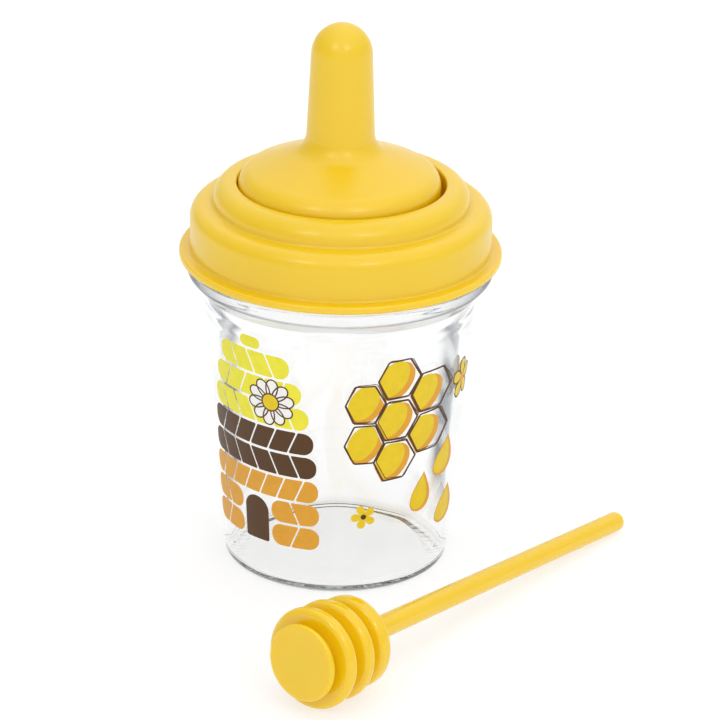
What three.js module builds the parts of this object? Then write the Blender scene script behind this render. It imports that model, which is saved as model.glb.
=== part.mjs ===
// Honey jar with a two-part plastic lid, and its honey dipper lying in front of it.
// Millimetres, +Z up. The origin is the centre of the jar's underside.
// Every piece is a solid of revolution, turned from an outline of [radius, height, rounding] corners.

import * as THREE from 'three';

// Jar: a tapered glass body under a bulging collar and a plain neck with one bead.
const JAR_FOOT_RADIUS = 32.9;
const JAR_FOOT_ROUND = 1.9;
const JAR_HEEL_TOP = 9.5;
const JAR_HEEL_RADIUS = 34.6;
const BODY_TOP = 84.3;
const BODY_TOP_RADIUS = 40.0;
const BODY_TOP_ROUND = 6;
const COLLAR_LOW = 90.2;
const COLLAR_LOW_ROUND = 2.5;
const COLLAR_HIGH = 93.8;
const COLLAR_HIGH_ROUND = 1.6;
const COLLAR_RADIUS = 45.0;
const NECK_RADIUS = 40.2;
const NECK_FOOT_ROUND = 0.6;
const BEAD_RADIUS = 41.6;
const BEAD_MIDDLE = 100.6;
const BEAD_FOOT_HALF = 1.6;
const BEAD_TOP_HALF = 0.7;
const RIM_HEIGHT = 107.0;
const RIM_ROUND = 0.8;
const MOUTH_RADIUS = 38.4;
const MOUTH_LOW = 90.5;
const MOUTH_LOW_ROUND = 5;
const INNER_TOP_HEIGHT = 84.5;
const INNER_TOP_RADIUS = 36.5;
const INNER_WAIST_HEIGHT = 52;
const INNER_WAIST_RADIUS = 34.3;
const INNER_FOOT_RADIUS = 31.9;
const JAR_FLOOR = 2.0;
const JAR_FLOOR_ROUND = 1.2;

// Lid cover: a ring in two steps, with a flange below and a well in the middle for the stopper.
const FLANGE_RADIUS = 47.2;
const FLANGE_LOW = 94.25;
const FLANGE_HIGH = 96.5;
const FLANGE_ROUND = 0.8;
const SKIRT_RADIUS = 44.1;
const SKIRT_FOOT = FLANGE_HIGH + 0.4;
const STEP_HEIGHT = 109.8;
const STEP_ROUND = 4.2;
const CROWN_RADIUS = 37.5;
const CROWN_FOOT = 110.7;
const CROWN_FOOT_ROUND = 1;
const CROWN_HEIGHT = 117.0;
const CROWN_ROUND = 5.2;
const WELL_RADIUS = 30.5;
const WELL_ROUND = 0.7;
const LEDGE_HEIGHT = 110.0;
const LEDGE_RADIUS = 27.0;
const LID_WALL = 1.9;
const LID_CEILING = RIM_HEIGHT + 0.4;
const INNER_CROWN_ROUND = 3;
const INNER_SKIRT_ROUND = 1.5;

// Stopper: a shallow hollow cone with a tall hollow post for a handle.
const STOPPER_SHIFT = -0.6;
const STOPPER_RADIUS = 29.55;
const STOPPER_LOW = LEDGE_HEIGHT + 0.3;
const CONE_FOOT = 119.75;
const CONE_FOOT_ROUND = 5.6;
const CONE_TOP = 127.85;
const POST_LOW_RADIUS = 10.1;
const POST_TOP_RADIUS = 8.9;
const POST_ROUND = 6.5;
const DOME_LOW = 155.9;
const DOME_TOP = 165.1;
const DOME_STEPS = 7;

// Dipper: measured along its own axis from the tip of the handle to the flat face of the head.
const DIPPER_LENGTH = 156;
const HANDLE_TIP_RADIUS = 3.0;
const HANDLE_TIP_ROUND = 2.5;
const HANDLE_NECK_RADIUS = 3.35;
const HANDLE_NECK_ROUND = 1.4;
const HEAD_BACK = 127.4;
const SHOULDER_AT = HEAD_BACK + 1.2;
const SHOULDER_RADIUS = 9.6;
const SHOULDER_ROUND = 3;
const RIDGES = [
  { at: 133.9, radius: 13.3 },
  { at: 142.0, radius: 14.4 },
  { at: 150.2, radius: 14.6 },
];
const RIDGE_WIDTH = 3.5;
const RIDGE_ROUND = 1.7;
const GROOVE_RADIUS = 10.1;
const GROOVE_WIDTH = 2.3;
const GROOVE_ROUND = 1.0;
const FACE_RADIUS = 11.1;
const FACE_BACK = DIPPER_LENGTH - 1.7;
const FACE_BACK_ROUND = 0.6;
const FACE_ROUND = 0.9;
const LAST_GROOVE_RADIUS = 8.8;
const LAST_GROOVE_LOW = 152.2;
const LAST_GROOVE_HIGH = FACE_BACK - 0.2;
const LAST_GROOVE_ROUND = 0.8;
const DIPPER_TIP = { x: 86.2, y: 15.0 };
const DIPPER_HEADING = THREE.MathUtils.degToRad(232.5);

// How finely the outlines are turned. Small roundings get coarser steps.
const JAR_SIDES = 48;
const DIPPER_SIDES = 32;
const ARC_STEP = THREE.MathUtils.degToRad(30);
const SMALL_ROUND = 2;
const SMALL_ARC_STEP = THREE.MathUtils.degToRad(46);

// Returns the arc that replaces one corner of an outline, tangent to both of its sides.
function roundedCorner(before, corner, after, radius) {
  const back = before.clone().sub(corner).normalize();
  const ahead = after.clone().sub(corner).normalize();
  const half = Math.acos(THREE.MathUtils.clamp(back.dot(ahead), -1, 1)) / 2;
  const reach = radius / Math.tan(half);
  const start = corner.clone().addScaledVector(back, reach);
  const middle = back.clone().add(ahead).normalize();
  const centre = corner.clone().addScaledVector(middle, radius / Math.sin(half));
  const first = start.clone().sub(centre);
  const turn = Math.PI - 2 * half;
  const side = Math.sign(back.cross(ahead));
  const steps = Math.max(1, Math.round(turn / (radius > SMALL_ROUND ? ARC_STEP : SMALL_ARC_STEP)));
  const arc = [];
  for (let i = 0; i <= steps; i += 1) {
    arc.push(first.clone().rotateAround(new THREE.Vector2(), (-side * turn * i) / steps).add(centre));
  }
  return arc;
}

// Turns corners into outline points. A closed outline runs back to where it started.
function outline(corners, closed = false) {
  const points = corners.map(([radius, height]) => new THREE.Vector2(radius, height));
  const result = [];
  points.forEach((point, i) => {
    const round = corners[i][2] ?? 0;
    const atEnd = !closed && (i === 0 || i === points.length - 1);
    if (round === 0 || atEnd) {
      result.push(point);
      return;
    }
    const before = points.at(i - 1);
    const after = points[(i + 1) % points.length];
    result.push(...roundedCorner(before, point, after, round));
  });
  if (closed) {
    result.push(result[0].clone());
  }
  return result;
}

// Spins an outline about +Z.
function turned(name, points, sides, material) {
  const geometry = new THREE.LatheGeometry(points, sides);
  geometry.rotateX(Math.PI / 2);
  const mesh = new THREE.Mesh(geometry, material);
  mesh.name = name;
  return mesh;
}

function glassJar(material) {
  return turned('glass_jar', outline([
    [0, 0],
    [JAR_FOOT_RADIUS, 0, JAR_FOOT_ROUND],
    [JAR_HEEL_RADIUS, JAR_HEEL_TOP],
    [BODY_TOP_RADIUS, BODY_TOP, BODY_TOP_ROUND],
    [COLLAR_RADIUS, COLLAR_LOW, COLLAR_LOW_ROUND],
    [COLLAR_RADIUS, COLLAR_HIGH, COLLAR_HIGH_ROUND],
    [NECK_RADIUS, COLLAR_HIGH, NECK_FOOT_ROUND],
    [NECK_RADIUS, BEAD_MIDDLE - BEAD_FOOT_HALF],
    [BEAD_RADIUS, BEAD_MIDDLE - BEAD_TOP_HALF],
    [BEAD_RADIUS, BEAD_MIDDLE + BEAD_TOP_HALF],
    [NECK_RADIUS, BEAD_MIDDLE + BEAD_FOOT_HALF],
    [NECK_RADIUS, RIM_HEIGHT, RIM_ROUND],
    [MOUTH_RADIUS, RIM_HEIGHT, RIM_ROUND],
    [MOUTH_RADIUS, MOUTH_LOW, MOUTH_LOW_ROUND],
    [INNER_TOP_RADIUS, INNER_TOP_HEIGHT],
    [INNER_WAIST_RADIUS, INNER_WAIST_HEIGHT],
    [INNER_FOOT_RADIUS, JAR_FLOOR, JAR_FLOOR_ROUND],
    [0, JAR_FLOOR],
  ]), JAR_SIDES, material);
}

function lidCover(material) {
  const innerSkirt = SKIRT_RADIUS - LID_WALL;
  const innerCrown = CROWN_RADIUS - LID_WALL;
  const outerWell = WELL_RADIUS + LID_WALL;
  return turned('lid_cover', outline([
    [innerSkirt, FLANGE_LOW],
    [FLANGE_RADIUS, FLANGE_LOW, FLANGE_ROUND],
    [FLANGE_RADIUS, FLANGE_HIGH, FLANGE_ROUND],
    [SKIRT_RADIUS, SKIRT_FOOT, FLANGE_ROUND],
    [SKIRT_RADIUS, STEP_HEIGHT, STEP_ROUND],
    [CROWN_RADIUS, CROWN_FOOT, CROWN_FOOT_ROUND],
    [CROWN_RADIUS, CROWN_HEIGHT, CROWN_ROUND],
    [WELL_RADIUS, CROWN_HEIGHT, WELL_ROUND],
    [WELL_RADIUS, LEDGE_HEIGHT],
    [LEDGE_RADIUS, LEDGE_HEIGHT],
    [LEDGE_RADIUS, LEDGE_HEIGHT - LID_WALL],
    [outerWell, LEDGE_HEIGHT - LID_WALL],
    [outerWell, CROWN_HEIGHT - LID_WALL],
    [innerCrown, CROWN_HEIGHT - LID_WALL, INNER_CROWN_ROUND],
    [innerCrown, LID_CEILING],
    [innerSkirt, LID_CEILING, INNER_SKIRT_ROUND],
  ], true), JAR_SIDES, material);
}

// A quarter of an ellipse, from the wall of the post up to its axis.
function domePoints(radius, low, top) {
  const points = [];
  for (let i = 1; i <= DOME_STEPS; i += 1) {
    const angle = (Math.PI / 2) * (i / DOME_STEPS);
    const across = i === DOME_STEPS ? 0 : radius * Math.cos(angle);
    points.push(new THREE.Vector2(across, low + (top - low) * Math.sin(angle)));
  }
  return points;
}

function lidStopper(material) {
  const inside = outline([
    [POST_TOP_RADIUS - LID_WALL, DOME_LOW],
    [POST_LOW_RADIUS - LID_WALL, CONE_TOP - LID_WALL, POST_ROUND + LID_WALL],
    [STOPPER_RADIUS - LID_WALL, CONE_FOOT - LID_WALL, CONE_FOOT_ROUND - LID_WALL],
    [STOPPER_RADIUS - LID_WALL, STOPPER_LOW],
  ]);
  const outside = outline([
    [STOPPER_RADIUS, STOPPER_LOW],
    [STOPPER_RADIUS, CONE_FOOT, CONE_FOOT_ROUND],
    [POST_LOW_RADIUS, CONE_TOP, POST_ROUND],
    [POST_TOP_RADIUS, DOME_LOW],
  ]);
  const innerDome = domePoints(POST_TOP_RADIUS - LID_WALL, DOME_LOW, DOME_TOP - LID_WALL).reverse();
  const outerDome = domePoints(POST_TOP_RADIUS, DOME_LOW, DOME_TOP);
  const stopper = turned(
    'lid_stopper', [...innerDome, ...inside, ...outside, ...outerDome], JAR_SIDES, material,
  );
  stopper.position.x = STOPPER_SHIFT;
  return stopper;
}

function ridgeCorners({ at, radius }) {
  const half = RIDGE_WIDTH / 2;
  return [[radius, at - half, RIDGE_ROUND], [radius, at + half, RIDGE_ROUND]];
}

function grooveCorners(at) {
  const half = GROOVE_WIDTH / 2;
  return [[GROOVE_RADIUS, at - half, GROOVE_ROUND], [GROOVE_RADIUS, at + half, GROOVE_ROUND]];
}

// The ridges of the head, with a groove midway between each two.
function dipperHead() {
  const corners = [];
  RIDGES.forEach((ridge, i) => {
    const next = RIDGES[i + 1];
    corners.push(...ridgeCorners(ridge));
    if (next) {
      corners.push(...grooveCorners((ridge.at + next.at) / 2));
    }
  });
  return corners;
}

function dipper(material) {
  const points = outline([
    [0, 0],
    [HANDLE_TIP_RADIUS, 0, HANDLE_TIP_ROUND],
    [HANDLE_NECK_RADIUS, HEAD_BACK, HANDLE_NECK_ROUND],
    [SHOULDER_RADIUS, SHOULDER_AT, SHOULDER_ROUND],
    ...dipperHead(),
    [LAST_GROOVE_RADIUS, LAST_GROOVE_LOW, LAST_GROOVE_ROUND],
    [LAST_GROOVE_RADIUS, LAST_GROOVE_HIGH, LAST_GROOVE_ROUND],
    [FACE_RADIUS, FACE_BACK, FACE_BACK_ROUND],
    [FACE_RADIUS, DIPPER_LENGTH, FACE_ROUND],
    [0, DIPPER_LENGTH],
  ]);
  const mesh = turned('dipper', points, DIPPER_SIDES, material);
  const bearing = RIDGES[1];
  const tilt = Math.atan2(bearing.radius - HANDLE_TIP_RADIUS, bearing.at);
  mesh.rotation.set(0, Math.PI / 2 - tilt, DIPPER_HEADING, 'ZYX');
  mesh.position.set(DIPPER_TIP.x, DIPPER_TIP.y, 0);
  mesh.position.z = -new THREE.Box3().setFromObject(mesh, true).min.z;
  return mesh;
}

const glass = new THREE.MeshStandardMaterial({
  color: 0xeef3f1, roughness: 0.03, metalness: 0, transparent: true, opacity: 0.35,
});
const yellowPlastic = new THREE.MeshStandardMaterial({ color: 0xf4cb2d, roughness: 0.38, metalness: 0 });

const honeyJar = new THREE.Group();
honeyJar.add(glassJar(glass), lidCover(yellowPlastic), lidStopper(yellowPlastic), dipper(yellowPlastic));

export default honeyJar;
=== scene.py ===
"""Honey jar with a two-part plastic lid, and its honey dipper lying in front of it.

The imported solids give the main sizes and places. Here the same outlines are turned again with
finer arcs, the glass gets an uneven inner wall and a hollowed, knurled underside, and the print is
laid on it as thin raised shapes. Sizes are in millimetres until a mesh is made. Places in the print
are (along, height): along is measured round the jar from the side that faces the camera.
"""

import math
import random

import bmesh
import bpy
import numpy as np
from mathutils import Matrix, Vector, noise


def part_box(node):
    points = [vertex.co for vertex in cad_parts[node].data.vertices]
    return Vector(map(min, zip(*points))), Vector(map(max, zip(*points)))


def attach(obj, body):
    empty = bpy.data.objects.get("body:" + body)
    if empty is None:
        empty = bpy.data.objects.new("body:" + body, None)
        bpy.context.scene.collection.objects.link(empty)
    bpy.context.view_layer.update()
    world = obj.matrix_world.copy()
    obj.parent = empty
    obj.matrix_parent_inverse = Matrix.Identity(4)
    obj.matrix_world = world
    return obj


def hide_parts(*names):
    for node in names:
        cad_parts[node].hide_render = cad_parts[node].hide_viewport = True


MM = 0.001
BODY = "root"

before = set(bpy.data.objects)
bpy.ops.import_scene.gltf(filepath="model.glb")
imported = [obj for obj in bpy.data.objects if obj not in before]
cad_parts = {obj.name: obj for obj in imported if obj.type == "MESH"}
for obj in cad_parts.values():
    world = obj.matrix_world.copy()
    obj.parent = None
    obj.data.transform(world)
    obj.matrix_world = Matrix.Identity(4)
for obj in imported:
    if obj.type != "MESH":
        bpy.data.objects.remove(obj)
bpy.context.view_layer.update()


def solid_span(node, axis):
    """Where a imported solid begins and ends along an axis, in millimetres."""
    low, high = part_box(node)
    place = "XYZ".index(axis)
    return round(low[place] / MM, 2), round(high[place] / MM, 2)


# Glass jar.
FOOT_RADIUS = 32.9
FOOT_ROUND = 1.9
HEEL_RADIUS = 34.6
HEEL_TOP = 9.5
HEEL_ROUND = 12.0
BODY_TOP_RADIUS = 40.0
BODY_TOP = 84.3
BODY_TOP_ROUND = 6.0
COLLAR_RADIUS = solid_span("glass_jar", "X")[1]
COLLAR_LOW = 90.2
COLLAR_LOW_ROUND = 2.5
COLLAR_HIGH = 93.8
COLLAR_HIGH_ROUND = 1.6
NECK_RADIUS = 40.2
NECK_FOOT_ROUND = 0.6
BEAD_RADIUS = 41.6
BEAD_MIDDLE = 100.6
BEAD_FOOT_HALF = 1.6
BEAD_TOP_HALF = 0.7
BEAD_ROUND = 0.5
RIM_HEIGHT = solid_span("glass_jar", "Z")[1]
RIM_ROUND = 0.8
RIM_MIDDLE = (39.3, RIM_HEIGHT)
MOUTH_RADIUS = 38.4
MOUTH_LOW = 90.5
MOUTH_LOW_ROUND = 5.0
INNER_TOP_RADIUS = 36.5
INNER_TOP_HEIGHT = 84.5
INNER_TOP_ROUND = 10.0
INNER_WAIST_RADIUS = 34.3
INNER_WAIST_HEIGHT = 52.0
INNER_WAIST_ROUND = 120.0
INNER_FOOT_RADIUS = 31.9
JAR_FLOOR = 2.0
JAR_FLOOR_ROUND = 1.2

# The jar's underside: a shallow hollow inside a ring with fine ribs.
PUNT_HEIGHT = 0.5
PUNT_RADIUS = 26.0
PUNT_ROUND = 1.5
BEARING_RADIUS = 29.6
BEARING_ROUND = 1.2
UNDERSIDE_TOP = PUNT_HEIGHT + 1.0
KNURL_RIBS = 60
KNURL_DEPTH = 0.03
KNURL_FROM = 26.5
KNURL_TO = 31.2

# The jar's inner wall: slow waves, and two rings where the glass settled.
UNEVEN_FROM_RADIUS = INNER_FOOT_RADIUS - 0.5
WAVE_DEPTH = 0.32
WAVES_ROUND = 1.7
WAVES_UP = 0.045
WAVE_START = JAR_FLOOR + 6.0
WAVE_START_SPAN = 15.0
WAVE_END_SPAN = 12.0
SETTLE_HEIGHTS = (81.5, 78.0)
SETTLE_DEPTH = 0.08
SETTLE_WIDTH = 0.8
SETTLE_WANDER = 1.2

# Painted shade: the glass is darkened where it is seen edge-on, on the inner wall in patches, and
# on the collar.
EDGE_ATTRIBUTES = ("inner_edge_shade", "collar_edge_shade")
EDGE_FROM_HEIGHT = 12.0
EDGE_FROM_SPAN = 10.0
EDGE_SHARE = 0.9
EDGE_PATCHES = 1.8
EDGE_PATCHES_ROUND = 0.02
EDGE_PATCHES_UP = 0.11
EDGE_TO_RIGHT = 0.3
COLLAR_EDGE_FROM = COLLAR_LOW - 1.5

# Lid cover.
FLANGE_RADIUS = solid_span("lid_cover", "X")[1]
FLANGE_LOW, CROWN_HEIGHT = solid_span("lid_cover", "Z")
FLANGE_HIGH = 96.5
FLANGE_ROUND = 0.8
SKIRT_RADIUS = 44.1
SKIRT_FOOT = FLANGE_HIGH + 0.4
STEP_HEIGHT = 109.8
STEP_ROUND = 4.2
CROWN_RADIUS = 37.5
CROWN_FOOT = 110.7
CROWN_FOOT_ROUND = 1.0
CROWN_ROUND = 5.2
WELL_RADIUS = 30.5
WELL_ROUND = 0.7
LEDGE_HEIGHT = 110.0
LEDGE_RADIUS = 27.0
LID_WALL = 1.9
LID_CEILING = RIM_HEIGHT + 0.4
INNER_CROWN_ROUND = 3.0
INNER_SKIRT_ROUND = 1.5
LID_EDGE_ROUND = 0.4

# Stopper.
STOPPER_LEFT, STOPPER_RIGHT = solid_span("lid_stopper", "X")
STOPPER_LOW, DOME_TOP = solid_span("lid_stopper", "Z")
STOPPER_SHIFT = (STOPPER_LEFT + STOPPER_RIGHT) / 2
STOPPER_RADIUS = (STOPPER_RIGHT - STOPPER_LEFT) / 2
CONE_FOOT = 119.75
CONE_FOOT_ROUND = 5.6
CONE_TOP = 127.85
POST_LOW_RADIUS = 10.1
POST_TOP_RADIUS = 8.9
POST_ROUND = 6.5
DOME_LOW = 155.9
DOME_STEPS = 28

# Dipper, measured along its own axis from the tip of the handle.
DIPPER_LENGTH = 156.0
HANDLE_TIP_RADIUS = 3.0
HANDLE_TIP_ROUND = 2.5
HANDLE_NECK_RADIUS = 3.35
HANDLE_NECK_ROUND = 1.4
HEAD_BACK = 127.4
SHOULDER_AT = HEAD_BACK + 1.2
SHOULDER_RADIUS = 9.6
SHOULDER_ROUND = 3.0
RIDGES = ((133.9, 13.3), (142.0, 14.4), (150.2, 14.6))
RIDGE_WIDTH = 3.5
RIDGE_ROUND = 1.7
GROOVE_RADIUS = 10.1
GROOVE_WIDTH = 2.3
GROOVE_ROUND = 1.0
FACE_RADIUS = 11.1
FACE_BACK = DIPPER_LENGTH - 1.7
FACE_BACK_ROUND = 0.6
FACE_ROUND = 0.9
LAST_GROOVE_RADIUS = 8.8
LAST_GROOVE_LOW = 152.2
LAST_GROOVE_HIGH = FACE_BACK - 0.2
LAST_GROOVE_ROUND = 0.8
DIPPER_TIP = (86.2, 15.0)
DIPPER_HEADING = math.radians(232.5)

# Fineness of the turned surfaces.
GLASS_SIDES = 360
LID_SIDES = 192
DIPPER_SIDES = 128
ARC_STEP = math.radians(9)
SUPPORT = 0.25
SPAN = 4.0
OUTER_SPAN = 1.6
INNER_SPAN = 0.8
NEAR_AXIS = 1e-6

# Glass material.
GLASS_IOR = 1.5
GLASS_COLOUR = (0.86, 0.875, 0.872)
GLASS_DENSITY = 60
# Painted shade on edge-on glass: its dark colour, and the facing over which it comes in on the
# inner wall and on the collar.
PAINTED_EDGE_SHADE = (0.03, 0.04, 0.06)
INNER_EDGE_SPAN = (0.46, 0.6)
COLLAR_EDGE_SPAN = (0.2, 0.8)

# Plastic material. Lengths in it are in metres.
PLASTIC_IOR = 1.62
PLASTIC_COLOURS = ((0.82, 0.55, 0.003), (0.84, 0.568, 0.005))
SCATTER_SHARE = 0.45
SCATTER_RADIUS = (1.0, 0.6, 0.08)
SCATTER_SCALE = 0.0035
FLOW_SCALE = 35
GRAIN_SCALE = 2600
GRAIN_STRENGTH = 0.05
GRAIN_HEIGHT = 0.0001
LID_ROUGHNESS = (0.26, 0.32)
DIPPER_ROUGHNESS = (0.12, 0.17)

# Ink material, and the inks as screen colours.
INK_IOR = 1.5
INK_SPECULAR = 0.25
INK_UNEVENNESS = 0.94
INK_COLOUR_SCALE = 400
INK_SHEEN_SCALE = 900
INK_ROUGHNESS = (0.35, 0.5)
INKS = {
    "lemon": (236, 229, 62),
    "gold": (230, 199, 36),
    "ochre": (222, 160, 52),
    "brown": (86, 58, 30),
    "white": (244, 243, 240),
}

# Uneven colour and sheen, in every material.
NOISE_DETAIL = 2.0
RAMP_SPAN = (0.3, 0.7)

# Print.
PRINT_RADIUS = 37.0
PRINT_THICKNESS = 0.03
PRINT_LIFT = 0.01
PRINT_STRIP = 1.2
PRINT_SHARP_ANGLE = math.radians(40)
STRIP_CUT_REACH = 1e-5


def clamp(value):
    return min(1.0, max(0.0, value))


def corner_arc(before, corner, after, radius):
    """The points that round one corner, from the side that comes in to the side that goes out."""
    before, corner, after = (np.array(p[:2], float) for p in (before, corner, after))
    back = (before - corner) / np.linalg.norm(before - corner)
    ahead = (after - corner) / np.linalg.norm(after - corner)
    half = math.acos(float(np.clip(back @ ahead, -1, 1))) / 2
    middle = (back + ahead) / np.linalg.norm(back + ahead)
    centre = corner + middle * radius / math.sin(half)
    spoke = corner + back * radius / math.tan(half) - centre
    turn = math.pi - 2 * half
    side = -math.copysign(1, back[0] * ahead[1] - back[1] * ahead[0])
    steps = max(3, round(turn / ARC_STEP))
    points = []
    for i in range(steps + 1):
        angle = side * turn * i / steps
        cos, sin = math.cos(angle), math.sin(angle)
        points.append(centre + (spoke[0] * cos - spoke[1] * sin, spoke[0] * sin + spoke[1] * cos))
    return points


def outline(corners, closed=False):
    """Turns (x, y) and (x, y, rounding) corners into the points of an outline."""
    points = []
    for i, corner in enumerate(corners):
        at_end = not closed and i in (0, len(corners) - 1)
        if len(corner) < 3 or at_end:
            points.append(np.array(corner[:2], float))
        else:
            following = corners[(i + 1) % len(corners)]
            points += corner_arc(corners[i - 1], corner, following, corner[2])
    return points


def supported(points, closed=False, span=SPAN):
    """Adds points along straight stretches, close to their ends too, so that they shade flat."""
    ends = points[1:] + ([points[0]] if closed else [])
    result = []
    for start, end in zip(points, ends):
        result.append(start)
        length = np.linalg.norm(end - start)
        if length > 4 * SUPPORT:
            inner = np.linspace(SUPPORT, length - SUPPORT, 2 + int(length // span))
            result += [start + (end - start) * t / length for t in inner]
    return result if closed else result + [points[-1]]


def turned(points, sides, closed=False):
    """Spins an outline of (radius, height) about +Z. Returns vertices and faces."""
    verts, rows, faces = [], [], []
    angles = [2 * math.pi * i / sides for i in range(sides)]
    for radius, height in points:
        if radius < NEAR_AXIS:
            rows.append([len(verts)] * sides)
            verts.append((0, 0, height))
        else:
            rows.append(list(range(len(verts), len(verts) + sides)))
            verts += [(radius * math.sin(a), -radius * math.cos(a), height) for a in angles]
    for row, after in zip(rows, rows[1:] + rows[:1] if closed else rows[1:]):
        for i in range(sides):
            j = (i + 1) % sides
            quad = [row[i], row[j], after[j], after[i]]
            faces.append(tuple(dict.fromkeys(quad)))
    return np.array(verts, float), faces


def add_piece(name, verts, faces, material, replaced=()):
    """Makes a mesh of millimetre points, and lets it ride on the part's only body."""
    mesh = bpy.data.meshes.new(name)
    mesh.from_pydata((np.asarray(verts) * MM).tolist(), [], faces)
    bm = bmesh.new()
    bm.from_mesh(mesh)
    bmesh.ops.recalc_face_normals(bm, faces=bm.faces)
    if bm.calc_volume(signed=True) < 0:
        bmesh.ops.reverse_faces(bm, faces=bm.faces)
    bm.to_mesh(mesh)
    bm.free()
    mesh.shade_smooth()
    mesh.materials.append(material)
    piece = bpy.data.objects.new(name, mesh)
    bpy.context.scene.collection.objects.link(piece)
    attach(piece, BODY)
    for node in replaced:
        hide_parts(node)
    return piece


def combined(tree, operation, first, second):
    """Joins two shader values by one operation."""
    node = tree.nodes.new("ShaderNodeMath")
    node.operation = operation
    tree.links.new(first, node.inputs[0])
    tree.links.new(second, node.inputs[1])
    return node.outputs["Value"]


def eased(tree, value, start, end, low=0.0, high=1.0):
    """Runs smoothly from low to high while a shader value runs from start to end."""
    span = tree.nodes.new("ShaderNodeMapRange")
    span.interpolation_type = "SMOOTHSTEP"
    span.inputs["From Min"].default_value = start
    span.inputs["From Max"].default_value = end
    span.inputs["To Min"].default_value = low
    span.inputs["To Max"].default_value = high
    tree.links.new(value, span.inputs["Value"])
    return span.outputs["Result"]


def new_material(name, **sockets):
    """A Principled material with plain values on its sockets. Returns it and its shader."""
    material = bpy.data.materials.new(name)
    material.use_nodes = True
    shader = material.node_tree.nodes["Principled BSDF"]
    for socket, value in sockets.items():
        shader.inputs[socket.replace("_", " ")].default_value = value
    return material, shader


def add_noise(material, scale):
    """A noise texture over the object's own coordinates."""
    nodes, links = material.node_tree.nodes, material.node_tree.links
    place = nodes.new("ShaderNodeTexCoord")
    texture = nodes.new("ShaderNodeTexNoise")
    texture.inputs["Scale"].default_value = scale
    texture.inputs["Detail"].default_value = NOISE_DETAIL
    links.new(place.outputs["Object"], texture.inputs["Vector"])
    return texture.outputs["Fac"]


def add_bump(material, shader, height, strength, distance):
    nodes, links = material.node_tree.nodes, material.node_tree.links
    bump = nodes.new("ShaderNodeBump")
    bump.inputs["Strength"].default_value = strength
    bump.inputs["Distance"].default_value = distance
    links.new(height, bump.inputs["Height"])
    links.new(bump.outputs["Normal"], shader.inputs["Normal"])


def vary_colour(material, shader, factor, *shades):
    """Runs the base colour gently between two shades."""
    nodes, links = material.node_tree.nodes, material.node_tree.links
    ramp = nodes.new("ShaderNodeValToRGB")
    ramp.color_ramp.interpolation = "EASE"
    for element, place, shade in zip(ramp.color_ramp.elements, RAMP_SPAN, shades):
        element.position = place
        element.color = (*shade, 1)
    links.new(factor, ramp.inputs["Fac"])
    links.new(ramp.outputs["Color"], shader.inputs["Base Color"])


def vary_roughness(material, shader, factor, low, high):
    nodes, links = material.node_tree.nodes, material.node_tree.links
    span = nodes.new("ShaderNodeMapRange")
    span.inputs["To Min"].default_value = low
    span.inputs["To Max"].default_value = high
    links.new(factor, span.inputs["Value"])
    links.new(span.outputs["Result"], shader.inputs["Roughness"])


def linear(channel):
    """One channel of a screen colour, 0 to 255, as linear light."""
    share = channel / 255
    return ((share + 0.055) / 1.055) ** 2.4 if share > 0.04045 else share / 12.92


def seen_edge_on(tree, facing, attribute, start, end):
    """How nearly edge-on a marked stretch of the surface is seen: the mask for the painted shade.
    """
    mark = tree.nodes.new("ShaderNodeAttribute")
    mark.attribute_name = attribute
    return combined(tree, "MULTIPLY", eased(tree, facing, start, end), mark.outputs["Fac"])


def glass_material():
    """Clear glass with a grey-green body. Painted shade darkens its inner wall and its collar where
    they are seen edge-on.
    """
    material, shader = new_material(
        "clear_glass", Roughness=0.0, IOR=GLASS_IOR, Transmission_Weight=1.0,
    )
    tree = material.node_tree
    body = tree.nodes.new("ShaderNodeVolumeAbsorption")
    body.inputs["Color"].default_value = (*GLASS_COLOUR, 1)
    body.inputs["Density"].default_value = GLASS_DENSITY
    tree.links.new(body.outputs["Volume"], tree.nodes["Material Output"].inputs["Volume"])
    facing = tree.nodes.new("ShaderNodeLayerWeight").outputs["Facing"]
    inner = seen_edge_on(tree, facing, EDGE_ATTRIBUTES[0], *INNER_EDGE_SPAN)
    collar = seen_edge_on(tree, facing, EDGE_ATTRIBUTES[1], *COLLAR_EDGE_SPAN)
    # Painted shade: edge-on glass is tinted dark, in what it lets through and in what it reflects.
    painted_shade = tree.nodes.new("ShaderNodeMix")
    painted_shade.data_type = "RGBA"
    painted_shade.inputs["A"].default_value = (1, 1, 1, 1)
    painted_shade.inputs["B"].default_value = (*PAINTED_EDGE_SHADE, 1)
    tree.links.new(combined(tree, "ADD", inner, collar), painted_shade.inputs["Factor"])
    tree.links.new(painted_shade.outputs["Result"], shader.inputs["Base Color"])
    tree.links.new(painted_shade.outputs["Result"], shader.inputs["Specular Tint"])
    return material


def plastic_material(name, roughness):
    """Moulded polypropylene: a satin sheen, faint flow marks and a fine grain."""
    material, shader = new_material(
        name,
        IOR=PLASTIC_IOR,
        Subsurface_Weight=SCATTER_SHARE,
        Subsurface_Radius=SCATTER_RADIUS,
        Subsurface_Scale=SCATTER_SCALE,
    )
    flow = add_noise(material, FLOW_SCALE)
    vary_colour(material, shader, flow, *PLASTIC_COLOURS)
    vary_roughness(material, shader, flow, *roughness)
    grain = add_noise(material, GRAIN_SCALE)
    add_bump(material, shader, grain, GRAIN_STRENGTH, GRAIN_HEIGHT)
    return material


def print_material(name, colour):
    """Fired ceramic ink, with a little unevenness from the screen."""
    material, shader = new_material("print_" + name, IOR=INK_IOR, Specular_IOR_Level=INK_SPECULAR)
    full = tuple(linear(channel) for channel in colour)
    thin = tuple(channel * INK_UNEVENNESS for channel in full)
    vary_colour(material, shader, add_noise(material, INK_COLOUR_SCALE), thin, full)
    vary_roughness(material, shader, add_noise(material, INK_SHEEN_SCALE), *INK_ROUGHNESS)
    return material


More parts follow.
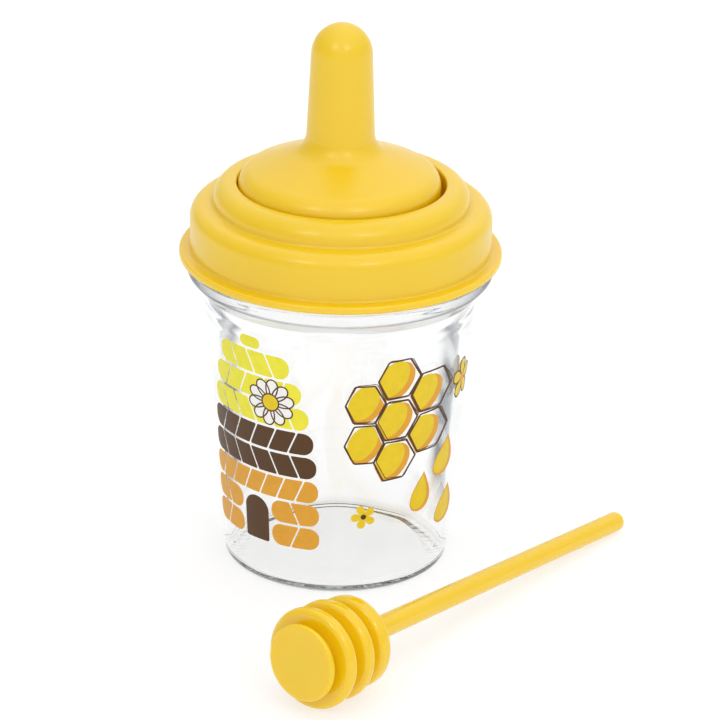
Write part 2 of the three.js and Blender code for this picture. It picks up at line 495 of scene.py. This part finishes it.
def inner_wall_shift(x, y, height):
    """How far the inner wall wanders at one place, given its direction and height."""
    wave = noise.noise(Vector((x * WAVES_ROUND, y * WAVES_ROUND, height * WAVES_UP)))
    start = clamp((height - WAVE_START) / WAVE_START_SPAN)
    end = clamp((RIM_HEIGHT - height) / WAVE_END_SPAN)
    rings = sum(
        math.exp(-((height - ring + SETTLE_WANDER * wave) / SETTLE_WIDTH) ** 2)
        for ring in SETTLE_HEIGHTS
    )
    return WAVE_DEPTH * wave * start * end + SETTLE_DEPTH * rings


def inner_edge_shade(x, y, z):
    """How strongly painted shade darkens the inner wall's edge at one place: patchy, and more on
    the right.
    """
    place = (x * EDGE_PATCHES_ROUND, y * EDGE_PATCHES_ROUND, z * EDGE_PATCHES_UP)
    patch = EDGE_PATCHES * noise.noise(Vector(place))
    low = clamp((z - EDGE_FROM_HEIGHT) / EDGE_FROM_SPAN)
    return low * clamp(EDGE_SHARE + patch + EDGE_TO_RIGHT * x / INNER_TOP_RADIUS)


def underside_height(radius, angle, height):
    """The outline's height, with radial ribs cut up into the bearing ring."""
    if not KNURL_FROM < radius < KNURL_TO:
        return height
    middle = (KNURL_FROM + KNURL_TO) / 2
    fade = math.cos(math.pi * (radius - middle) / (KNURL_TO - KNURL_FROM)) ** 0.5
    rib = max(0.0, math.cos(KNURL_RIBS * angle)) ** 2
    return height + KNURL_DEPTH * rib * fade


def jar_outside():
    return supported(outline([
        (0, PUNT_HEIGHT),
        (PUNT_RADIUS, PUNT_HEIGHT, PUNT_ROUND),
        (BEARING_RADIUS, 0, BEARING_ROUND),
        (FOOT_RADIUS, 0, FOOT_ROUND),
        (HEEL_RADIUS, HEEL_TOP, HEEL_ROUND),
        (BODY_TOP_RADIUS, BODY_TOP, BODY_TOP_ROUND),
        (COLLAR_RADIUS, COLLAR_LOW, COLLAR_LOW_ROUND),
        (COLLAR_RADIUS, COLLAR_HIGH, COLLAR_HIGH_ROUND),
        (NECK_RADIUS, COLLAR_HIGH, NECK_FOOT_ROUND),
        (NECK_RADIUS, BEAD_MIDDLE - BEAD_FOOT_HALF, BEAD_ROUND),
        (BEAD_RADIUS, BEAD_MIDDLE - BEAD_TOP_HALF, BEAD_ROUND),
        (BEAD_RADIUS, BEAD_MIDDLE + BEAD_TOP_HALF, BEAD_ROUND),
        (NECK_RADIUS, BEAD_MIDDLE + BEAD_FOOT_HALF, BEAD_ROUND),
        (NECK_RADIUS, RIM_HEIGHT, RIM_ROUND),
        RIM_MIDDLE,
    ]), span=OUTER_SPAN)


def jar_inside():
    return supported(outline([
        RIM_MIDDLE,
        (MOUTH_RADIUS, RIM_HEIGHT, RIM_ROUND),
        (MOUTH_RADIUS, MOUTH_LOW, MOUTH_LOW_ROUND),
        (INNER_TOP_RADIUS, INNER_TOP_HEIGHT, INNER_TOP_ROUND),
        (INNER_WAIST_RADIUS, INNER_WAIST_HEIGHT, INNER_WAIST_ROUND),
        (INNER_FOOT_RADIUS, JAR_FLOOR, JAR_FLOOR_ROUND),
        (0, JAR_FLOOR),
    ]), span=INNER_SPAN)[1:]


def make_jar(material):
    outside = jar_outside()
    verts, faces = turned(outside + jar_inside(), GLASS_SIDES)
    first_inner = sum(1 if point[0] < NEAR_AXIS else GLASS_SIDES for point in outside)
    for i, (x, y, z) in enumerate(verts):
        radius = math.hypot(x, y)
        if i >= first_inner and radius > UNEVEN_FROM_RADIUS:
            verts[i, :2] *= 1 + inner_wall_shift(x / radius, y / radius, z) / radius
        elif i < first_inner and z < UNDERSIDE_TOP:
            verts[i, 2] = underside_height(radius, math.atan2(x, -y), z)
    jar = add_piece("jar", verts, faces, material, ["glass_jar"])
    # Marks where painted shade darkens the glass seen edge-on: patches of the inner wall, and the
    # outside from the collar up.
    marks = (
        [inner_edge_shade(*v) if i >= first_inner else 0.0 for i, v in enumerate(verts)],
        [1.0 * (i < first_inner and v[2] > COLLAR_EDGE_FROM) for i, v in enumerate(verts)],
    )
    for name, values in zip(EDGE_ATTRIBUTES, marks):
        jar.data.attributes.new(name, "FLOAT", "POINT").data.foreach_set("value", values)
    jar.visible_shadow = False


def make_cover(material):
    inner_skirt = SKIRT_RADIUS - LID_WALL
    inner_crown = CROWN_RADIUS - LID_WALL
    outer_well = WELL_RADIUS + LID_WALL
    points = supported(outline([
        (inner_skirt, FLANGE_LOW, LID_EDGE_ROUND),
        (FLANGE_RADIUS, FLANGE_LOW, FLANGE_ROUND),
        (FLANGE_RADIUS, FLANGE_HIGH, FLANGE_ROUND),
        (SKIRT_RADIUS, SKIRT_FOOT, FLANGE_ROUND),
        (SKIRT_RADIUS, STEP_HEIGHT, STEP_ROUND),
        (CROWN_RADIUS, CROWN_FOOT, CROWN_FOOT_ROUND),
        (CROWN_RADIUS, CROWN_HEIGHT, CROWN_ROUND),
        (WELL_RADIUS, CROWN_HEIGHT, WELL_ROUND),
        (WELL_RADIUS, LEDGE_HEIGHT, LID_EDGE_ROUND),
        (LEDGE_RADIUS, LEDGE_HEIGHT, LID_EDGE_ROUND),
        (LEDGE_RADIUS, LEDGE_HEIGHT - LID_WALL, LID_EDGE_ROUND),
        (outer_well, LEDGE_HEIGHT - LID_WALL, LID_EDGE_ROUND),
        (outer_well, CROWN_HEIGHT - LID_WALL, LID_EDGE_ROUND),
        (inner_crown, CROWN_HEIGHT - LID_WALL, INNER_CROWN_ROUND),
        (inner_crown, LID_CEILING, LID_EDGE_ROUND),
        (inner_skirt, LID_CEILING, INNER_SKIRT_ROUND),
    ], closed=True), closed=True)
    verts, faces = turned(points, LID_SIDES, closed=True)
    add_piece("cover", verts, faces, material, ["lid_cover"])


def dome(radius, low, top):
    """A quarter of an ellipse, from the wall of the post up to its axis."""
    points = []
    for i in range(1, DOME_STEPS + 1):
        angle = math.pi / 2 * i / DOME_STEPS
        across = 0.0 if i == DOME_STEPS else radius * math.cos(angle)
        points.append(np.array((across, low + (top - low) * math.sin(angle))))
    return points


def make_stopper(material):
    inside = supported(outline([
        (POST_TOP_RADIUS - LID_WALL, DOME_LOW),
        (POST_LOW_RADIUS - LID_WALL, CONE_TOP - LID_WALL, POST_ROUND + LID_WALL),
        (STOPPER_RADIUS - LID_WALL, CONE_FOOT - LID_WALL, CONE_FOOT_ROUND - LID_WALL),
        (STOPPER_RADIUS - LID_WALL, STOPPER_LOW),
    ]))
    outside = supported(outline([
        (STOPPER_RADIUS - LID_WALL, STOPPER_LOW),
        (STOPPER_RADIUS, STOPPER_LOW, LID_EDGE_ROUND),
        (STOPPER_RADIUS, CONE_FOOT, CONE_FOOT_ROUND),
        (POST_LOW_RADIUS, CONE_TOP, POST_ROUND),
        (POST_TOP_RADIUS, DOME_LOW),
    ]))[1:]
    inner_dome = dome(POST_TOP_RADIUS - LID_WALL, DOME_LOW, DOME_TOP - LID_WALL)[::-1]
    outer_dome = dome(POST_TOP_RADIUS, DOME_LOW, DOME_TOP)
    verts, faces = turned(inner_dome + inside + outside + outer_dome, LID_SIDES)
    verts[:, 0] += STOPPER_SHIFT
    add_piece("stopper", verts, faces, material, ["lid_stopper"])


def head_corners():
    """The ridges of the dipper's head, with a groove midway between each two."""
    corners = []
    for i, (at, radius) in enumerate(RIDGES):
        for side in (-1, 1):
            corners.append((radius, at + side * RIDGE_WIDTH / 2, RIDGE_ROUND))
        if i + 1 < len(RIDGES):
            middle = (at + RIDGES[i + 1][0]) / 2
            for side in (-1, 1):
                corners.append((GROOVE_RADIUS, middle + side * GROOVE_WIDTH / 2, GROOVE_ROUND))
    return corners


def make_dipper(material):
    """Turned upright, then laid down on its tip and its middle ridge."""
    points = supported(outline([
        (0, 0),
        (HANDLE_TIP_RADIUS, 0, HANDLE_TIP_ROUND),
        (HANDLE_NECK_RADIUS, HEAD_BACK, HANDLE_NECK_ROUND),
        (SHOULDER_RADIUS, SHOULDER_AT, SHOULDER_ROUND),
        *head_corners(),
        (LAST_GROOVE_RADIUS, LAST_GROOVE_LOW, LAST_GROOVE_ROUND),
        (LAST_GROOVE_RADIUS, LAST_GROOVE_HIGH, LAST_GROOVE_ROUND),
        (FACE_RADIUS, FACE_BACK, FACE_BACK_ROUND),
        (FACE_RADIUS, DIPPER_LENGTH, FACE_ROUND),
        (0, DIPPER_LENGTH),
    ]))
    verts, faces = turned(points, DIPPER_SIDES)
    bearing_at, bearing_radius = RIDGES[1]
    tilt = math.atan2(bearing_radius - HANDLE_TIP_RADIUS, bearing_at)
    heading = Matrix.Rotation(DIPPER_HEADING, 3, "Z")
    laid = heading @ Matrix.Rotation(math.pi / 2 - tilt, 3, "Y")
    verts = verts @ np.array(laid).T
    verts += (*DIPPER_TIP, -verts[:, 2].min())
    add_piece("honey_dipper", verts, faces, material, ["dipper"])


def wrapped(along, height, lift):
    """A place in the print as a point just off the glass."""
    angle = along / PRINT_RADIUS
    taper = (BODY_TOP_RADIUS - HEEL_RADIUS) / (BODY_TOP - HEEL_TOP)
    radius = HEEL_RADIUS + taper * (height - HEEL_TOP) + lift
    return radius * math.sin(angle), -radius * math.cos(angle), height


def cut_in_strips(bm, shapes):
    """Cuts flat shapes into upright strips, so that they bend round the glass."""
    low = min(x for shape in shapes for x, _ in shape)
    high = max(x for shape in shapes for x, _ in shape)
    for cut in np.arange(low + PRINT_STRIP, high, PRINT_STRIP):
        geometry = bm.verts[:] + bm.edges[:] + bm.faces[:]
        bmesh.ops.bisect_plane(
            bm, geom=geometry, plane_co=(cut, 0, 0), plane_no=(1, 0, 0), dist=STRIP_CUT_REACH,
        )


def print_layer(name, shapes, material, layer=0):
    """Lays flat shapes on the glass. Each layer lies on the one below it."""
    bm = bmesh.new()
    for shape in shapes:
        bm.faces.new([bm.verts.new((x, y, 0)) for x, y in shape])
    cut_in_strips(bm, shapes)
    bmesh.ops.triangulate(bm, faces=bm.faces)
    bmesh.ops.recalc_face_normals(bm, faces=bm.faces)
    top = bmesh.ops.extrude_face_region(bm, geom=bm.faces[:])["geom"]
    for vert in (g for g in top if isinstance(g, bmesh.types.BMVert)):
        vert.co.z = PRINT_THICKNESS
    lift = PRINT_LIFT + layer * PRINT_THICKNESS
    bm.verts.index_update()
    verts = [wrapped(v.co.x, v.co.y, lift + v.co.z) for v in bm.verts]
    faces = [[v.index for v in face.verts] for face in bm.faces]
    bm.free()
    piece = add_piece(name, verts, faces, material)
    piece.data.set_sharp_from_angle(angle=PRINT_SHARP_ANGLE)


def ribbon(points, width):
    """A drawn line as quads along a closed run of points."""
    points = np.array(points, float)
    along = np.roll(points, -1, 0) - np.roll(points, 1, 0)
    along /= np.linalg.norm(along, axis=1)[:, None]
    across = np.c_[-along[:, 1], along[:, 0]] * width / 2
    left, right = points + across, points - across
    following = [(i + 1) % len(points) for i in range(len(points))]
    return [[right[i], right[j], left[j], left[i]] for i, j in enumerate(following)]


def moved(shape, x, y):
    return [(px + x, py + y) for px, py in shape]


def round_points(count):
    """Angles spaced evenly over one turn."""
    return [2 * math.pi * i / count for i in range(count)]


# Honeycomb: seven cells in three columns. It is drawn flat, as are the drops, and then spread.
PRINT_SPREAD = 42.6
COMB_CENTRE = (16.6, 56.5)
COMB_COLUMN = 8.85
COMB_ROW = 13.1
COMB_SLOPE = 0.45
COMB_SEED = 7
CELLS = [(0, 0), (0, 1), (0, -1)] + [(side, row / 2) for side in (-1, 1) for row in (-1, 1)]
CELL_CORNERS = ((1, 0), (0.5, 1), (-0.5, 1), (-1, 0), (-0.5, -1), (0.5, -1))
CELL_WIDTH = 11.2
CELL_HEIGHT = 12.2
CELL_WOBBLE = 0.25
CELL_ROUND = 0.8
COMB_LINE = 0.5
SKETCH_LINE = 0.22
SKETCH_TRIM = 0.1
SKETCH_SHIFT = (0.3, 0.25)
SHADE_FENCE_SHIFT = (-0.35, -0.3)
SHADE_SIZE = (8.9, 12.8)
HONEY_TRIM = 0.3
HONEY_SIZE = (7.8, 11.8)
HONEY_SHIFT = (-0.9, 0.9)
POOL_SHIFT = (-0.7, -0.6)
POOL_COLUMN_SHIFT = (-1.2, -0.4)
POOL_LEAN = math.radians(-25)
POOL_POINTS = 64


def spread(shape):
    """Stretches a drawing towards its right-hand side."""
    return [(PRINT_SPREAD * math.tan(x / PRINT_SPREAD), y) for x, y in shape]


def hexagon(centre, trim, draw):
    """A tall hexagon, its corners a little off as if drawn by hand."""
    width, height = CELL_WIDTH / 2 - trim, CELL_HEIGHT / 2 - trim
    points = []
    for across, up in CELL_CORNERS:
        off = draw.uniform(-CELL_WOBBLE, CELL_WOBBLE), draw.uniform(-CELL_WOBBLE, CELL_WOBBLE)
        points.append((centre[0] + across * width + off[0], centre[1] + up * height + off[1]))
    return points


def pool(centre, width, height):
    """A leaning oval of honey."""
    points = []
    for angle in round_points(POOL_POINTS):
        x, y = width / 2 * math.cos(angle), height / 2 * math.sin(angle)
        points.append((
            centre[0] + x * math.cos(POOL_LEAN) - y * math.sin(POOL_LEAN),
            centre[1] + x * math.sin(POOL_LEAN) + y * math.cos(POOL_LEAN),
        ))
    return points


def clipped(shape, fence):
    """The part of one convex shape that lies inside another. Both run anticlockwise."""
    for start, end in zip(fence, fence[1:] + fence[:1]):
        edge = np.subtract(end, start)

        def inside(point):
            return edge[0] * (point[1] - start[1]) - edge[1] * (point[0] - start[0])

        kept = []
        for point, after in zip(shape, shape[1:] + shape[:1]):
            here, there = inside(point), inside(after)
            if here >= 0:
                kept.append(point)
            if here * there < 0:
                share = here / (here - there)
                kept.append(tuple(p + share * (a - p) for p, a in zip(point, after)))
        shape = kept
    return shape


def cell_line(corners, width):
    """The line round a cell, with soft corners."""
    corners = [(*corner, CELL_ROUND) for corner in corners]
    points = supported(outline(corners, closed=True), closed=True)
    return [spread(quad) for quad in ribbon(points, width)]


def make_honeycomb(inks):
    draw = random.Random(COMB_SEED)
    lines, shade, gold = [], [], []
    for column, row in CELLS:
        x = COMB_CENTRE[0] + column * COMB_COLUMN
        y = COMB_CENTRE[1] + row * COMB_ROW + column * COMB_SLOPE
        left = x + POOL_SHIFT[0] + POOL_COLUMN_SHIFT[0] * column
        low = y + POOL_SHIFT[1] + POOL_COLUMN_SHIFT[1] * column
        cell = hexagon((x, y), 0, draw)
        sketch = moved(hexagon((x, y), SKETCH_TRIM, draw), *SKETCH_SHIFT)
        lines += cell_line(cell, COMB_LINE) + cell_line(sketch, SKETCH_LINE)
        dark = pool((left, low), *SHADE_SIZE)
        light = pool((left + HONEY_SHIFT[0], low + HONEY_SHIFT[1]), *HONEY_SIZE)
        shade.append(spread(clipped(dark, moved(cell, *SHADE_FENCE_SHIFT))))
        gold.append(spread(clipped(light, hexagon((x, y), HONEY_TRIM, draw))))
    print_layer("print_comb_shade", shade, inks["ochre"])
    print_layer("print_comb_honey", gold, inks["gold"], 1)
    print_layer("print_comb_lines", lines, inks["brown"], 2)


# Drops: tip and lowest point of each, and how the lighter honey lies inside the darker shape.
DROPS = [((32.0, 45.4), (30.2, 33.1)), ((25.4, 36.9), (24.3, 24.1)), ((33.6, 28.2), (32.1, 16.3))]
DROP_WIDTH = 6.0
DROP_FULLNESS = 0.64
DROP_TAPER = 1.3
DROP_POINTS = 48
DROP_HONEY_WIDTH = DROP_WIDTH - 1.3
DROP_HONEY_TIP = (-0.15, -0.9)
DROP_HONEY_FOOT = (-0.5, 0.9)


def drop_shape(tip, bottom, width):
    """A pointed drop that hangs from its tip."""
    down = bottom - tip
    side = np.array((-down[1], down[0])) / np.linalg.norm(down)
    points = []
    for turn in round_points(DROP_POINTS):
        along = (1 - math.cos(turn)) / 2
        across = math.sin(turn) * math.sin(turn / 2) ** DROP_TAPER * width * DROP_FULLNESS
        points.append(tip + down * along + side * across)
    return spread(points)


def make_drops(inks):
    shade, gold = [], []
    for tip, bottom in DROPS:
        tip, bottom = np.array(tip), np.array(bottom)
        shade.append(drop_shape(tip, bottom, DROP_WIDTH))
        gold.append(drop_shape(tip + DROP_HONEY_TIP, bottom + DROP_HONEY_FOOT, DROP_HONEY_WIDTH))
    print_layer("print_drops_shade", shade, inks["ochre"])
    print_layer("print_drops", gold, inks["gold"], 1)


# Flowers: centre, length of a petal, direction of the first petal.
SMALL_FLOWER = ((8.6, 25.8), 3.9, math.radians(40))
LARGE_FLOWER = ((45.6, 61.5), 6.2, math.radians(18))
SMALL_HEART = 0.85
LARGE_HEART = 1.5
FLOWER_LINE = 0.45
PETALS = 5
PETAL_WIDTH = 0.62
PETAL_MIDDLE = 0.56
PETAL_HALF = 0.44
PETAL_TAPER = 0.25
PETAL_POINTS = 28
DISC_POINTS = 24


def petal(centre, length, angle, width):
    points = []
    for turn in round_points(PETAL_POINTS):
        along = length * (PETAL_MIDDLE - PETAL_HALF * math.cos(turn))
        across = width / 2 * math.sin(turn) * (1 - PETAL_TAPER * math.cos(turn))
        points.append((
            centre[0] + along * math.cos(angle) - across * math.sin(angle),
            centre[1] + along * math.sin(angle) + across * math.cos(angle),
        ))
    return points


def flower_petals(centre, length, start):
    turns = [start + 2 * math.pi * i / PETALS for i in range(PETALS)]
    return [petal(centre, length, turn, PETAL_WIDTH * length) for turn in turns]


def disc(centre, radius):
    turns = round_points(DISC_POINTS)
    return [(centre[0] + radius * math.cos(t), centre[1] + radius * math.sin(t)) for t in turns]


def make_flowers(inks):
    print_layer("print_flower", flower_petals(*SMALL_FLOWER), inks["gold"])
    print_layer("print_flower_heart", [disc(SMALL_FLOWER[0], SMALL_HEART)], inks["brown"], 1)
    large = flower_petals(*LARGE_FLOWER)
    print_layer("print_flower_large", large, inks["gold"])
    lines = [quad for shape in large for quad in ribbon(shape, FLOWER_LINE)]
    print_layer("print_flower_lines", lines, inks["brown"], 1)
    print_layer("print_flower_large_heart", [disc(LARGE_FLOWER[0], LARGE_HEART)], inks["ochre"], 2)


# Straw beehive: coils of slanted straw stitches that grow wider downwards.
HIVE_CENTRE = -26.0
HIVE_FOOT = 14.5
HIVE_COILS = ["ochre", "ochre", "ochre", "brown", "brown", "lemon", "lemon", "lemon"]
COIL_PITCH = 7.8
COIL_HEIGHT = 7.0
COIL_ROUND = 3.2
HIVE_HALF_WIDTH = 21.5
HIVE_REACH = 66.0
HIVE_POWER = 2.5
STITCH = 6.4
STITCH_GAP = 0.5
STITCH_ROUND = 0.4
STITCH_SLANT = 1.5
KNOB_WIDTH = 7.0
KNOB_HEIGHT = 3.6
KNOB_ROUND = KNOB_HEIGHT / 2 - 0.1
DOOR_HALF_WIDTH = 4.6
DOOR_HEIGHT = 14.2
DOOR_GAP = 0.9
DOOR_FOOT_ROUND = 0.8
DOOR_TOP_ROUND = DOOR_HALF_WIDTH - 0.2


def stitches(low, start, end, slant):
    """A coil of straw between two places, as slanted stitches with round outer ends."""
    high = low + COIL_HEIGHT
    count = max(2, round((end - start) / STITCH))
    pitch = (end - start) / count
    shapes = []
    for i in range(count):
        left = start + i * pitch + STITCH_GAP / 2
        right = left + pitch - STITCH_GAP
        lean_left, round_left = (0, COIL_ROUND) if i == 0 else (slant, STITCH_ROUND)
        lean_right, round_right = (0, COIL_ROUND) if i == count - 1 else (slant, STITCH_ROUND)
        shapes.append(outline([
            (left - lean_left, low, round_left),
            (right - lean_right, low, round_right),
            (right + lean_right, high, round_right),
            (left + lean_left, high, round_left),
        ], closed=True))
    return shapes


def hive_coil(index):
    """One coil of the hive, counted from its foot. The low ones leave room for the door."""
    low = HIVE_FOOT + index * COIL_PITCH
    rise = (low + COIL_HEIGHT / 2 - HIVE_FOOT) / HIVE_REACH
    half_width = HIVE_HALF_WIDTH * (1 - rise ** HIVE_POWER) ** (1 / HIVE_POWER)
    slant = STITCH_SLANT * (-1) ** index
    if low >= HIVE_FOOT + DOOR_HEIGHT:
        return stitches(low, -half_width, half_width, slant)
    door_side = DOOR_HALF_WIDTH + DOOR_GAP
    left = stitches(low, -half_width, -door_side, slant)
    return left + stitches(low, door_side, half_width, slant)


def hive_knob():
    low = HIVE_FOOT + len(HIVE_COILS) * COIL_PITCH
    corners = ((-1, 0), (1, 0), (1, 1), (-1, 1))
    return outline(
        [(side * KNOB_WIDTH / 2, low + up * KNOB_HEIGHT, KNOB_ROUND) for side, up in corners],
        closed=True,
    )


def hive_door():
    return outline([
        (-DOOR_HALF_WIDTH, HIVE_FOOT, DOOR_FOOT_ROUND),
        (DOOR_HALF_WIDTH, HIVE_FOOT, DOOR_FOOT_ROUND),
        (DOOR_HALF_WIDTH, HIVE_FOOT + DOOR_HEIGHT, DOOR_TOP_ROUND),
        (-DOOR_HALF_WIDTH, HIVE_FOOT + DOOR_HEIGHT, DOOR_TOP_ROUND),
    ], closed=True)


def make_hive(inks):
    coils = {}
    for i, ink in enumerate(HIVE_COILS):
        coils.setdefault(ink, []).extend(hive_coil(i))
    coils[HIVE_COILS[-1]].append(hive_knob())
    for ink, shapes in coils.items():
        placed = [moved(shape, HIVE_CENTRE, 0) for shape in shapes]
        print_layer("print_hive_" + ink, placed, inks[ink])
    print_layer("print_hive_door", [moved(hive_door(), HIVE_CENTRE, 0)], inks["brown"])


# Daisy, drawn over the hive.
DAISY_CENTRE = (-19.5, 61.0)
DAISY_PETALS = 10
DAISY_START = 0.3
DAISY_LENGTH = 7.4
DAISY_PETAL_WIDTH = 3.6
DAISY_HEART = 2.7
DAISY_LINE = 0.42


def make_daisy(inks):
    turns = [2 * math.pi * (i + DAISY_START) / DAISY_PETALS for i in range(DAISY_PETALS)]
    petals = [petal(DAISY_CENTRE, DAISY_LENGTH, turn, DAISY_PETAL_WIDTH) for turn in turns]
    lines = [quad for shape in petals for quad in ribbon(shape, DAISY_LINE)]
    heart = disc(DAISY_CENTRE, DAISY_HEART)
    print_layer("print_daisy_petals", petals, inks["white"], 1)
    print_layer("print_daisy_lines", lines, inks["brown"], 2)
    print_layer("print_daisy_heart", [heart], inks["gold"], 3)
    print_layer("print_daisy_ring", ribbon(heart, DAISY_LINE), inks["brown"], 4)


def make_print():
    inks = {name: print_material(name, colour) for name, colour in INKS.items()}
    make_hive(inks)
    make_daisy(inks)
    make_honeycomb(inks)
    make_drops(inks)
    make_flowers(inks)


# Floor. It lies just under the jar, so that the two surfaces don't coincide.
FLOOR_GAP = 0.05
FLOOR_RADII = (0.0, 1500.0, 4000.0)
FLOOR_SIDES = 96
FLOOR_ROUGHNESS = 0.9
FLOOR_GREYS = (0.39, 0.41)
FLOOR_GRAIN_SCALE = 12
FLOOR_GLOW = 0.62


def make_floor():
    """A wide pale sheet, flat as far as the camera sees, lit a little from below."""
    points = [np.array((radius, -FLOOR_GAP)) for radius in FLOOR_RADII]
    verts, faces = turned(points, FLOOR_SIDES)
    mesh = bpy.data.meshes.new("floor")
    mesh.from_pydata((verts * MM).tolist(), [], faces)
    material, shader = new_material(
        "floor_paper",
        Roughness=FLOOR_ROUGHNESS,
        Emission_Color=(1, 1, 1, 1),
        Emission_Strength=FLOOR_GLOW,
    )
    greys = [(grey, grey, grey) for grey in FLOOR_GREYS]
    vary_colour(material, shader, add_noise(material, FLOOR_GRAIN_SCALE), *greys)
    mesh.materials.append(material)
    floor = bpy.data.objects.new("floor", mesh)
    bpy.context.scene.collection.objects.link(floor)


# Camera: where the photograph was taken from, worked out from the jar's round edges. How far
# it sees is in metres.
CAMERA_REACH = 1200.0
CAMERA_TILT = math.radians(23.15)
CAMERA_ROLL = math.radians(1.16)
CAMERA_AIM = (6.33, 0.0, 60.64)
CAMERA_LENS = 202.8
CAMERA_SENSOR = 36
CAMERA_SIGHT = 20


def make_camera():
    camera = bpy.data.objects.new("camera", bpy.data.cameras.new("camera"))
    camera.data.sensor_width = CAMERA_SENSOR
    camera.data.lens = CAMERA_LENS
    camera.data.clip_end = CAMERA_SIGHT
    turn = Matrix.Rotation(math.pi / 2 - CAMERA_TILT, 4, "X")
    turn = turn @ Matrix.Rotation(CAMERA_ROLL, 4, "Z")
    back = Vector((0, -math.cos(CAMERA_TILT), math.sin(CAMERA_TILT)))
    place = (Vector(CAMERA_AIM) + back * CAMERA_REACH) * MM
    camera.matrix_world = Matrix.Translation(place) @ turn
    bpy.context.scene.collection.objects.link(camera)
    bpy.context.scene.camera = camera


# Lamps, with their places in metres.
LAMPS = {"left_lamp": (-0.5, -0.8, 0.9), "right_lamp": (0.4, -0.9, 0.9)}
LAMP_AIM = (0, 0, 0.08)
LAMP_SIZE = 0.16
LAMP_POWER = 0.9


def add_lamp(name, place):
    lamp = bpy.data.lights.new(name, "AREA")
    lamp.shape = "RECTANGLE"
    lamp.size = LAMP_SIZE
    lamp.size_y = LAMP_SIZE
    lamp.energy = LAMP_POWER
    light = bpy.data.objects.new(name, lamp)
    light.location = place
    sight = Vector(LAMP_AIM) - Vector(place)
    light.rotation_euler = sight.to_track_quat("-Z", "Y").to_euler()
    bpy.context.scene.collection.objects.link(light)


# Light tent: from and to along one axis of the view direction, and the strength at each.
TENT_LEFT = (-1.0, 0.0, 0.46, 0.94)
TENT_RIGHT = (0.3, 1.0, 1.0, 0.75)
TENT_TOP = (0.0, 0.9, 0.93, 1.42)


def make_world():
    """A bright tent, brightest overhead, that falls off towards both sides."""
    world = bpy.data.worlds.new("studio")
    world.use_nodes = True
    tree = world.node_tree
    place = tree.nodes.new("ShaderNodeTexCoord")
    split = tree.nodes.new("ShaderNodeSeparateXYZ")
    tree.links.new(place.outputs["Generated"], split.inputs["Vector"])
    left = eased(tree, split.outputs["X"], *TENT_LEFT)
    right = eased(tree, split.outputs["X"], *TENT_RIGHT)
    above = eased(tree, split.outputs["Z"], *TENT_TOP)
    sides = combined(tree, "MULTIPLY", left, right)
    background = tree.nodes["Background"]
    background.inputs["Color"].default_value = (1, 1, 1, 1)
    tree.links.new(combined(tree, "MULTIPLY", sides, above), background.inputs["Strength"])
    bpy.context.scene.world = world


# Bounces of light: many, because the camera looks through four walls of glass.
DIFFUSE_BOUNCES = 10
GLOSSY_BOUNCES = 24
GLASS_BOUNCES = 32


def set_light_paths():
    scene = bpy.context.scene
    scene.view_settings.view_transform = "Standard"
    scene.cycles.max_bounces = GLASS_BOUNCES
    scene.cycles.diffuse_bounces = DIFFUSE_BOUNCES
    scene.cycles.glossy_bounces = GLOSSY_BOUNCES
    scene.cycles.transmission_bounces = GLASS_BOUNCES


make_camera()
make_world()
make_floor()
for lamp_name, lamp_place in LAMPS.items():
    add_lamp(lamp_name, lamp_place)
set_light_paths()

lid_plastic = plastic_material("lid_plastic", LID_ROUGHNESS)
make_jar(glass_material())
make_cover(lid_plastic)
make_stopper(lid_plastic)
make_dipper(plastic_material("dipper_plastic", DIPPER_ROUGHNESS))
make_print()
